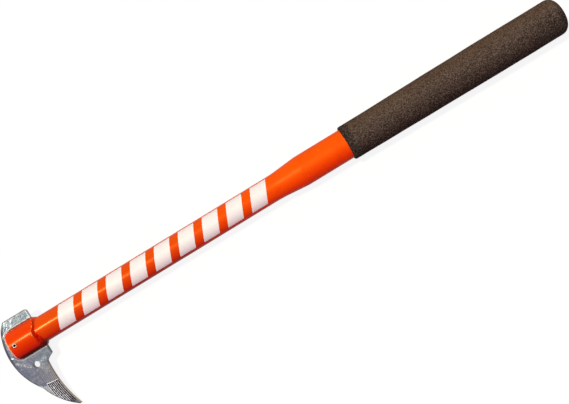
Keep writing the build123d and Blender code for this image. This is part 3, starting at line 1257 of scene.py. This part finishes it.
def rounded(corners: Sequence[Point], radii: Sequence[float], steps: int) -> list[Point]:
    """Rounds the corners of an open profile.

    Args:
        corners: The profile's corners, first to last.
        radii: One radius for each corner between the ends; 0 keeps it sharp.
        steps: Points laid along each arc.

    Returns:
        The profile's points.
    """
    points = [corners[0]]
    for before, corner, after, radius in zip(corners, corners[1:], corners[2:], radii):
        if radius == 0:
            points.append(corner)
            continue
        here = Vector(corner)
        back = (Vector(before) - here).normalized()
        on = (Vector(after) - here).normalized()
        half = math.acos(max(-1.0, min(1.0, back.dot(on)))) / 2
        reach = radius / math.tan(half)
        centre = here + (back + on).normalized() * (radius / math.sin(half))
        start = here + back * reach - centre
        end = here + on * reach - centre
        sweep = math.pi - 2 * half
        for step in range(steps + 1):
            share = step / steps
            lean = math.sin((1 - share) * sweep) * start + math.sin(share * sweep) * end
            spot = centre + lean / math.sin(sweep)
            points.append((spot.x, spot.y))
    points.append(corners[-1])
    return points


def divided(points: Sequence[Point], spacing: float) -> list[Point]:
    """Adds points along a profile so that none are further apart than the spacing.

    Args:
        points: The profile's points, first to last.
        spacing: The longest gap that stays.

    Returns:
        The profile's points with the new ones among them.
    """
    out = [points[0]]
    for (x, r), (next_x, next_r) in zip(points, points[1:]):
        pieces = max(1, math.ceil(math.dist((x, r), (next_x, next_r)) / spacing))
        for piece in range(1, pieces + 1):
            share = piece / pieces
            out.append((x + (next_x - x) * share, r + (next_r - r) * share))
    return out


def finished_mesh(name: str, build: bmesh.types.BMesh, crease: Crease) -> bpy.types.Object:
    """Turns a bmesh into an object of the scene, smooth but for its crisp edges.

    Args:
        name: The object's name.
        build: The bmesh, which is freed.
        crease: How far an edge turns before it stays crisp.

    Returns:
        The new object.
    """
    bmesh.ops.recalc_face_normals(build, faces=build.faces)
    mesh = bpy.data.meshes.new(name)
    build.to_mesh(mesh)
    build.free()
    smoothed(mesh, crease)
    made = bpy.data.objects.new(name, mesh)
    bpy.context.scene.collection.objects.link(made)
    return made


def smoothed(mesh: bpy.types.Mesh, crease: Crease) -> None:
    """Shades a mesh smooth but for its crisp edges."""
    mesh.shade_smooth()
    mesh.set_sharp_from_angle(angle=math.radians(crease.value))


def coated(piece: bpy.types.Object, material: bpy.types.Material) -> None:
    """Gives a piece one finish, in place of what it has."""
    piece.data.materials.clear()
    piece.data.materials.append(material)


@dataclass
class Lathe:
    """Turns a closed profile round the handle's axis."""

    tool: ToolFrame
    sides: int
    axis_radius: float = 1e-6

    def turn(
        self,
        profile: Sequence[Point],
        relief: Callable[[float, float, float], float] | None = None,
    ) -> bmesh.types.BMesh:
        """Makes the rings and joins them.

        Args:
            profile: Closed loop of (distance along the handle, radius) in millimetres, without its
                first point again at the end. A radius of 0 becomes one point on the axis.
            relief: Optional function of (along, radius, angle) that gives extra radius.

        Returns:
            The closed bmesh, in metres.
        """
        build = bmesh.new()
        rings = []
        for x, radius in profile:
            if radius < self.axis_radius:
                rings.append([build.verts.new(self.tool.place(x, 0.0, 0.0))])
                continue
            ring = []
            for side in range(self.sides):
                angle = math.tau * side / self.sides
                reach = radius + (relief(x, radius, angle) if relief else 0.0)
                spot = self.tool.place(x, reach * math.cos(angle), reach * math.sin(angle))
                ring.append(build.verts.new(spot))
            rings.append(ring)
        for first, second in zip(rings, rings[1:] + rings[:1]):
            self._bridge(build, first, second)
        return build

    def _bridge(
        self,
        build: bmesh.types.BMesh,
        first: list[bmesh.types.BMVert],
        second: list[bmesh.types.BMVert],
    ) -> None:
        """Joins two neighbouring rings, either of which may be a point on the axis.

        Args:
            build: The bmesh that gets the faces.
            first: One ring's points.
            second: The next ring's points.
        """
        if len(first) == 1 and len(second) == 1:
            return
        for side in range(self.sides):
            on = (side + 1) % self.sides
            if len(first) == 1:
                build.faces.new((first[0], second[side], second[on]))
            elif len(second) == 1:
                build.faces.new((first[side], first[on], second[0]))
            else:
                build.faces.new((first[side], first[on], second[on], second[side]))


def cut_away(
    piece: bpy.types.Object, cutters: Sequence[bpy.types.Object], crease: Crease
) -> None:
    """Cuts bodies out of a piece, settles its mesh and removes the bodies.

    Args:
        piece: The object that is cut.
        cutters: The cutting bodies.
        crease: How far an edge turns before it stays crisp.
    """
    for cutter in cutters:
        cut = piece.modifiers.new(cutter.name, "BOOLEAN")
        cut.operation = "DIFFERENCE"
        cut.solver = "EXACT"
        cut.object = cutter
    evaluated = piece.evaluated_get(bpy.context.evaluated_depsgraph_get())
    settled = bpy.data.meshes.new_from_object(evaluated)
    piece.modifiers.clear()
    settled.name = piece.data.name
    piece.data = settled
    smoothed(settled, crease)
    for cutter in cutters:
        bpy.data.objects.remove(cutter)


def ringed(tool: ToolFrame, loops: Sequence[Sequence[Point]]) -> bmesh.types.BMesh:
    """Joins closed loops, spread evenly round the handle, into one closed ring.

    Args:
        tool: The tool's axes.
        loops: One loop of (distance along the handle, radius) for each angle, all as many points.

    Returns:
        The ring, in metres.
    """
    build = bmesh.new()
    rings = []
    for side, loop in enumerate(loops):
        angle = math.tau * side / len(loops)
        y, z = math.cos(angle), math.sin(angle)
        rings.append([build.verts.new(tool.place(x, r * y, r * z)) for x, r in loop])
    for first, second in zip(rings, rings[1:] + rings[:1]):
        for here in range(len(first)):
            on = (here + 1) % len(first)
            build.faces.new((first[here], first[on], second[on], second[here]))
    return build


@dataclass(frozen=True)
class HeadCuts:
    """The slot for the plate and the hole for its pin, which the tube and the sleeve share.

    Sizes are in millimetres.
    """

    tool: ToolFrame
    slot_length: float = 36.1
    slot_width: float = 6.65
    pin_from_head: float = 6.6
    pin_hole_radius: float = 2.81
    pin_hole_sides: int = 48
    reach: float = 80.0

    def bodies(self) -> list[bpy.types.Object]:
        """Makes the two cutting bodies.

        Returns:
            The bodies, for the slot and for the hole.
        """
        slot, hole = bmesh.new(), bmesh.new()
        block = (2 * self.slot_length * MM, self.reach * MM, self.slot_width * MM, 1.0)
        bmesh.ops.create_cube(slot, size=1.0)
        slot.transform(Matrix.Diagonal(block))
        radius = self.pin_hole_radius * MM
        bmesh.ops.create_cone(
            hole,
            cap_ends=True,
            segments=self.pin_hole_sides,
            radius1=radius,
            radius2=radius,
            depth=self.reach * MM,
        )
        hole.transform(Matrix.Translation((self.pin_from_head * MM, 0.0, 0.0)))
        for body in (slot, hole):
            body.transform(self.tool.matrix())
        return [
            finished_mesh("slot_cutter", slot, Crease.PLAIN),
            finished_mesh("pin_cutter", hole, Crease.PLAIN),
        ]


@dataclass
class HandleTube:
    """The swaged and painted tube, slotted and drilled at its head. Sizes are in millimetres."""

    tool: ToolFrame
    cuts: HeadCuts
    length: float = 762.0
    neck_radius: float = 15.875
    radius: float = 19.05
    wall: float = 3.2
    swage_start: float = 369.0
    swage_length: float = 35.0
    swage_root_radius: float = 170.0
    swage_crest_radius: float = 60.0
    end_break: float = 0.5
    sides: int = 160
    arc_steps: int = 14

    def _side(self, inset: float) -> list[Point]:
        """Gives the tube's outside line, or its bore's.

        Args:
            inset: 0 for the outside, or the wall's thickness for the bore.

        Returns:
            The line's points, from the head to the grip.
        """
        corners = [
            (0.0, self.neck_radius - inset),
            (self.swage_start, self.neck_radius - inset),
            (self.swage_start + self.swage_length, self.radius - inset),
            (self.length, self.radius - inset),
        ]
        return rounded(corners, (self.swage_root_radius, self.swage_crest_radius), self.arc_steps)

    def build(self) -> bpy.types.Object:
        """Turns the tube and cuts its slot and pin hole.

        Returns:
            The tube as one object.
        """
        outside = self._side(0.0)
        end_x, end_r = outside.pop()
        outside += [(end_x - self.end_break, end_r), (end_x, end_r - self.end_break)]
        inside = self._side(self.wall)
        bore_x, bore_r = inside.pop()
        inside += [(bore_x - self.end_break, bore_r), (bore_x, bore_r + self.end_break)]
        turned = Lathe(self.tool, self.sides).turn(outside + inside[::-1])
        tube = finished_mesh("painted_tube", turned, Crease.PLAIN)
        cut_away(tube, self.cuts.bodies(), Crease.PLAIN)
        return tube

    def dress(self, tube: bpy.types.Object, paint: bpy.types.Material) -> None:
        """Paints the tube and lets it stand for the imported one.

        Args:
            tube: The tube's object.
            paint: Its finish.
        """
        coated(tube, paint)
        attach(tube, BODY)
        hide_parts(Node.TUBE.value)


@dataclass(frozen=True)
class Seam:
    """Where the weld starts on the sleeve and where its toe ends on the neck, round the handle.

    Stations are (degrees, millimetres along the handle): 0 is the poll's side, 90 the upper face
    and 180 the pick's side. Beside the plate the seam starts behind the slot's end.
    """

    starts: tuple[Point, ...] = (
        (0, 36.4), (16, 36.4), (38, 37.2), (50, 37.0), (62, 35.4), (78, 32.0),
        (90, 31.2), (115, 31.4), (133, 31.2), (148, 31.8), (165, 36.4), (195, 36.4),
        (214, 34.5), (240, 32.0), (270, 31.5), (300, 32.2), (328, 35.0), (344, 36.4),
    )
    toes: tuple[Point, ...] = (
        (0, 42.6), (20, 42.0), (40, 39.4), (52, 38.6), (62, 37.4), (76, 35.7),
        (84, 35.2), (94, 36.3), (108, 38.0), (120, 39.5), (138, 39.2), (155, 39.6),
        (180, 40.2), (200, 40.5), (230, 39.0), (270, 38.0), (300, 38.5), (330, 41.0),
    )
    wander: float = 0.45
    wander_size: float = 3.0
    radius: float = 19.05

    @staticmethod
    def _along(stations: Sequence[Point], angle: float) -> float:
        """Gives the smooth value between the stations on either side of an angle.

        Args:
            stations: The (degrees, millimetres) stations, first to last.
            angle: Angle round the handle in radians.

        Returns:
            The distance along the handle.
        """
        degrees = math.degrees(angle) % 360
        closed = [*stations, (stations[0][0] + 360, stations[0][1])]
        for (low, first), (high, second) in zip(closed, closed[1:]):
            if low <= degrees <= high:
                share = (degrees - low) / (high - low)
                return first + (second - first) * share * share * (3 - 2 * share)
        return stations[0][1]

    def start(self, angle: float) -> float:
        """Gives where the weld starts, with a little wandering on the faces.

        Args:
            angle: Angle round the handle in radians.

        Returns:
            The distance along the handle.
        """
        spot = Vector((math.cos(angle), math.sin(angle), 0.0)) * self.radius
        sway = noise.noise(spot / self.wander_size) * self.wander
        return self._along(self.starts, angle) + sway * abs(math.sin(angle))

    def toe(self, angle: float) -> float:
        """Gives where the weld's toe ends at an angle."""
        return self._along(self.toes, angle)


@dataclass
class HeadSleeve:
    """The painted collar over the neck, which ends at the weld's seam. Sizes are in millimetres."""

    tool: ToolFrame
    cuts: HeadCuts
    seam: Seam
    radius: float = 19.05
    bore_radius: float = 15.925
    rim_round: float = 0.9
    rim_steps: int = 6
    seam_lap: float = 0.2
    front: float = -1.2
    corner: float = 6.5
    sides: int = 360

    def _front(self, angle: float) -> float:
        """Gives where the collar's front edge lies: it rounds back beside the plate.

        Args:
            angle: Angle round the handle in radians.

        Returns:
            The distance along the handle.
        """
        past_flat = abs(math.cos(angle)) * self.radius - self.radius + self.corner
        beside = max(0.0, past_flat) / self.corner
        return self.front + self.corner * (1 - math.sqrt(max(0.0, 1 - beside * beside)))

    def build(self) -> bpy.types.Object:
        """Makes the collar and cuts its slot and pin hole.

        Returns:
            The collar as one object.
        """
        loops = []
        for side in range(self.sides):
            angle = math.tau * side / self.sides
            near, end = self._front(angle), self.seam.start(angle) + self.seam_lap
            corners = [
                (near, self.bore_radius),
                (near, self.radius),
                (end, self.radius),
                (end, self.bore_radius),
            ]
            loops.append(rounded(corners, (self.rim_round, 0.0), self.rim_steps))
        sleeve = finished_mesh("painted_sleeve", ringed(self.tool, loops), Crease.SLEEVE)
        cut_away(sleeve, self.cuts.bodies(), Crease.SLEEVE)
        return sleeve

    def dress(self, sleeve: bpy.types.Object, paint: bpy.types.Material) -> None:
        """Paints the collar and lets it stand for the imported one.

        Args:
            sleeve: The collar's object.
            paint: Its finish.
        """
        coated(sleeve, paint)
        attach(sleeve, BODY)
        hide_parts(Node.SLEEVE.value)


@dataclass
class WeldBead:
    """The painted weld from the sleeve's end down to the neck: scalloped, lumpy and hollow.

    Sizes are in millimetres. Beside the plate, the weld is calmer and has no lap over the sleeve.
    """

    tool: ToolFrame
    seam: Seam
    sleeve_radius: float = 19.05
    neck_radius: float = 15.875
    seat_depth: float = 0.45
    lap: float = 1.6
    lap_sink: float = 0.15
    toe_sink: float = 0.2
    hollow: float = 1.15
    near_hollow: float = 1.0
    far_hollow: float = 1.5
    beside_power: int = 6
    calm: float = 0.75
    ripple_count: int = 27
    ripple_height: float = 0.90
    ripple_floor: float = 0.4
    ripple_lean: float = 0.7
    sway: float = 1.1
    sway_count: int = 3
    lump_height: float = 0.90
    lump_size: float = 3.0
    lump_fade: float = 0.5
    sides: int = 360
    rows: int = 30

    def _rough(self, angle: float, x: float, start: float, down: float) -> float:
        """Gives the ripples and lumps at one point of the skin.

        Args:
            angle: Angle round the handle in radians.
            x: Distance along the handle.
            start: Where the weld starts at that angle.
            down: Share of the way from the sleeve to the neck.

        Returns:
            The extra radius.
        """
        spot = Vector((math.cos(angle), math.sin(angle), 0.0)) * self.sleeve_radius
        sway = self.sway * math.sin(self.sway_count * angle)
        phase = self.ripple_count * angle + sway + self.ripple_lean * (x - start)
        lump = noise.noise(spot / self.lump_size + Vector((0.0, 0.0, x / self.lump_size)))
        ripple = self.ripple_height * (abs(math.sin(phase / 2)) - self.ripple_floor)
        return ripple * (1 - down) ** 2 + self.lump_height * lump * (1 - down) ** self.lump_fade

    def _skin(self, angle: float) -> list[Point]:
        """Gives the bead's skin at one angle round the handle, from the sleeve to the neck.

        Args:
            angle: Angle round the handle in radians, 0 on the poll's side.

        Returns:
            Points of distance along the handle and radius.
        """
        start, toe = self.seam.start(angle), self.seam.toe(angle)
        beside = abs(math.cos(angle)) ** self.beside_power
        side_hollow = self.near_hollow if math.cos(angle) > 0 else self.far_hollow
        power = self.hollow + (side_hollow - self.hollow) * beside
        lap = self.lap * (1 - beside)
        points = []
        for row in range(self.rows + 1):
            x = start - lap + (toe - start + lap) * row / self.rows
            down = min(1.0, max(0.0, (x - start) / (toe - start)))
            rough = self._rough(angle, x, start, down) * (1 - self.calm * beside)
            if x < start:
                rise = max(0.0, 1 + (x - start) / lap)
                radius = self.sleeve_radius - self.lap_sink + (self.lap_sink + rough) * rise
            else:
                step = (self.sleeve_radius - self.neck_radius) * (1 - down) ** power
                radius = self.neck_radius + step + rough
            points.append((x, max(self.neck_radius - self.toe_sink, radius)))
        return points

    def build(self) -> bpy.types.Object:
        """Makes the bead as a closed ring.

        Returns:
            The weld as one object.
        """
        under = self.neck_radius - self.seat_depth
        loops = []
        for side in range(self.sides):
            skin = self._skin(math.tau * side / self.sides)
            loops.append(skin + [(skin[-1][0], under), (skin[0][0], under)])
        return finished_mesh("weld_ring", ringed(self.tool, loops), Crease.WELD)

    def dress(self, weld: bpy.types.Object, paint: bpy.types.Material) -> None:
        """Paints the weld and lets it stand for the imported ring.

        Args:
            weld: The weld's object.
            paint: Its finish.
        """
        coated(weld, paint)
        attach(weld, BODY)
        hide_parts(Node.WELD.value)


@dataclass
class FoamGrip:
    """The foam sleeve over the tube's end, closed at the far end. Sizes are in millimetres."""

    tool: ToolFrame
    start: float = 466.8
    flare_end: float = 663.8
    end: float = 768.0
    bore_end: float = 762.1
    bore_radius: float = 19.15
    mouth_radius: float = 22.05
    radius: float = 23.55
    flare_round: float = 600.0
    mouth_round: float = 2.6
    end_round: float = 11.0
    arc_steps: int = 8
    pore_height: float = 0.12
    pore_size: float = 1.3
    fine_share: float = 0.5
    wave_height: float = 0.22
    wave_size: float = 32.0
    spacing: float = 0.75
    sides: int = 210
    fill: float = 0.9

    def _relief(self, x: float, radius: float, angle: float) -> float:
        """Gives the foam's relief: fine pores over a slow waviness, and none in the bore.

        Args:
            x: Distance along the handle.
            radius: The smooth skin's radius.
            angle: Angle round the handle in radians.

        Returns:
            The extra radius.
        """
        if radius <= self.bore_radius and x < self.end - self.end_round:
            return 0.0
        spot = Vector((x, radius * math.cos(angle), radius * math.sin(angle)))
        fine = noise.noise(spot / (self.fine_share * self.pore_size))
        pores = noise.noise(spot / self.pore_size) + self.fine_share * fine
        waves = noise.noise(spot / self.wave_size)
        fade = min(1.0, radius / self.bore_radius)
        return (pores * self.pore_height - self.pore_height + waves * self.wave_height) * fade

    def build(self) -> bpy.types.Object:
        """Turns the grip with its relief.

        Returns:
            The grip as one object.
        """
        corners = [
            (self.start, self.bore_radius),
            (self.start, self.mouth_radius),
            (self.flare_end, self.radius),
            (self.end, self.radius),
            (self.end, 0.0),
        ]
        rounds = (self.mouth_round, self.flare_round, self.end_round)
        skin = divided(rounded(corners, rounds, self.arc_steps), self.spacing)
        bore = [(self.bore_end, 0.0), (self.bore_end, self.bore_radius)]
        build = Lathe(self.tool, self.sides).turn(skin + bore, self._relief)
        return finished_mesh("foam_sleeve", build, Crease.FOAM)

    def dress(self, grip: bpy.types.Object, foam: bpy.types.Material) -> None:
        """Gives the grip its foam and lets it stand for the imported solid.

        Args:
            grip: The grip's object.
            foam: Its finish.
        """
        coated(grip, foam)
        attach(grip, BODY)
        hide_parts(Node.FOAM.value)


@dataclass
class PackedPiece:
    """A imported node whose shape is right, which only gets a better finish."""

    node: Node

    def dress(self, material: bpy.types.Material) -> bpy.types.Object:
        """Gives the node its finish.

        Args:
            material: The finish.

        Returns:
            The node's object.
        """
        piece = frame["nodes"][self.node.value]
        coated(piece, material)
        return piece


@dataclass
class Studio:
    """The pale floor, the soft key and the even surroundings. Sizes are in metres."""

    tool: ToolFrame
    floor_size: float = 12.0
    floor_glow: float = 0.89
    floor_paint: float = 0.12
    bounce: float = 0.12
    key_along: float = -18.0
    key_across: float = 19.5
    key_distance: float = 3.0
    key_strength: float = 2.75
    key_angle: float = 6.0
    key_colour: Colour = (1.0, 0.96, 0.82)
    ambient_colour: Colour = (1.0, 0.72, 0.88)
    ambient: float = 0.28
    ceiling: float = 0.30
    overhead: Ramp = Ramp(0.30, 0.70)

    @staticmethod
    def _seen(sheet: Sheet) -> Feed:
        """Gives 1 for rays that show the background: straight, by reflection or through glass."""
        path = sheet.add("ShaderNodeLightPath").outputs
        return sheet.most(path["Is Camera Ray"], path["Is Glossy Ray"], path["Is Transmission Ray"])

    def floor(self) -> bpy.types.Object:
        """Lays the floor.

        Returns:
            The floor's object.
        """
        build = bmesh.new()
        bmesh.ops.create_grid(build, x_segments=1, y_segments=1, size=self.floor_size / 2)
        floor = finished_mesh("pale_floor", build, Crease.PLAIN)
        material = bpy.data.materials.new("pale_floor")
        material.use_nodes = True
        nodes = material.node_tree.nodes
        nodes.remove(nodes["Principled BSDF"])
        sheet = Sheet(material.node_tree)
        glow = sheet.add("ShaderNodeEmission", {"Color": WHITE, "Strength": self.floor_glow})
        pale = sheet.add("ShaderNodeBsdfDiffuse", {"Color": (self.floor_paint,) * 3})
        shown = sheet.add("ShaderNodeAddShader", {0: glow.outputs[0], 1: pale.outputs[0]})
        lit = sheet.add("ShaderNodeBsdfDiffuse", {"Color": (self.bounce,) * 3})
        ways = {0: self._seen(sheet), 1: lit.outputs[0], 2: shown.outputs[0]}
        both = sheet.add("ShaderNodeMixShader", ways)
        sheet.feed(nodes["Material Output"].inputs["Surface"], both.outputs[0])
        coated(floor, material)
        return floor

    def key(self) -> bpy.types.Object:
        """Hangs the soft key over the pick's far side of the handle.

        Returns:
            The lamp's object.
        """
        lamp = bpy.data.lights.new("soft_key", "SUN")
        lamp.energy = self.key_strength
        lamp.angle = math.radians(self.key_angle)
        lamp.color = self.key_colour
        made = bpy.data.objects.new("soft_key", lamp)
        along, across = (math.tan(math.radians(lean)) for lean in (self.key_along, self.key_across))
        aim = self.tool.direction(along, across, 1.0)
        made.location = aim * self.key_distance
        made.rotation_mode = "QUATERNION"
        made.rotation_quaternion = aim.to_track_quat("Z", "Y")
        bpy.context.scene.collection.objects.link(made)
        return made

    def surroundings(self) -> None:
        """Makes the even light all round, and a white horizon under a dim ceiling to reflect."""
        world = bpy.data.worlds.new("studio")
        world.use_nodes = True
        bpy.context.scene.world = world
        sheet = Sheet(world.node_tree)
        shell = world.node_tree.nodes["Background"]
        height = sheet.parts(sheet.add("ShaderNodeTexCoord").outputs["Generated"])[2]
        shown = sheet.blend(sheet.remap(height, self.overhead), WHITE, (self.ceiling,) * 3)
        even = tuple(self.ambient * part for part in self.ambient_colour)
        sheet.feed(shell.inputs["Color"], sheet.blend(self._seen(sheet), even, shown))
        bpy.context.scene.view_settings.view_transform = "Standard"


@dataclass
class PhotoCamera:
    """The camera over the plate, turned so that the handle climbs to the right.

    Sizes are in millimetres, and the nearest distance that it sees in metres.
    """

    tool: ToolFrame
    over: Point = (367.5, -21.1)
    distance: float = 1200.0
    view_width: float = 682.8
    climb: float = 31.37
    sensor: float = 36.0
    nearest: float = 0.01

    def place(self) -> bpy.types.Object:
        """Sets up the camera and makes it the scene's own.

        Returns:
            The camera's object.
        """
        lens = bpy.data.cameras.new("photo_camera")
        lens.sensor_fit = "HORIZONTAL"
        lens.sensor_width = self.sensor
        lens.lens = self.sensor * self.distance / self.view_width
        lens.clip_start = self.nearest
        made = bpy.data.objects.new("photo_camera", lens)
        turn = math.radians(self.climb)
        right = self.tool.direction(math.cos(turn), -math.sin(turn), 0.0)
        up = self.tool.direction(math.sin(turn), math.cos(turn), 0.0)
        made.matrix_world = Matrix((right, up, self.tool.off)).transposed().to_4x4()
        made.location = self.tool.place(*self.over, self.distance)
        bpy.context.scene.collection.objects.link(made)
        bpy.context.scene.camera = made
        return made


def report(piece: bpy.types.Object) -> None:
    """Logs a piece and how many faces it has."""
    log.info("%s: %d faces", piece.name, len(piece.data.polygons))


def main() -> None:
    """Builds the camera, the pieces and the studio in order."""
    logging.basicConfig(level=logging.INFO, format="%(name)s: %(message)s")
    tool = ToolFrame.from_record(frame["record"])
    PhotoCamera(tool).place()
    effects = SharedEffects(tool)
    paint = PaintFinish().material(effects)
    foam = FoamFinish().material(effects)
    cuts, seam = HeadCuts(tool), Seam()

    new_pieces = (
        (HandleTube(tool, cuts), paint),
        (HeadSleeve(tool, cuts, seam), paint),
        (WeldBead(tool, seam), paint),
        (FoamGrip(tool), foam),
    )
    for maker, material in new_pieces:
        piece = maker.build()
        maker.dress(piece, material)
        report(piece)

    packed_pieces = (
        (Node.PLATE, ZincFinish()),
        (Node.PIN, PinFinish()),
        (Node.PLUG, PlugFinish()),
        (Node.FILM, FilmFinish()),
    )
    for node, finish in packed_pieces:
        report(PackedPiece(node).dress(finish.material(effects)))

    studio = Studio(tool)
    studio.floor()
    studio.key()
    studio.surroundings()


if __name__ == "__main__":
    main()
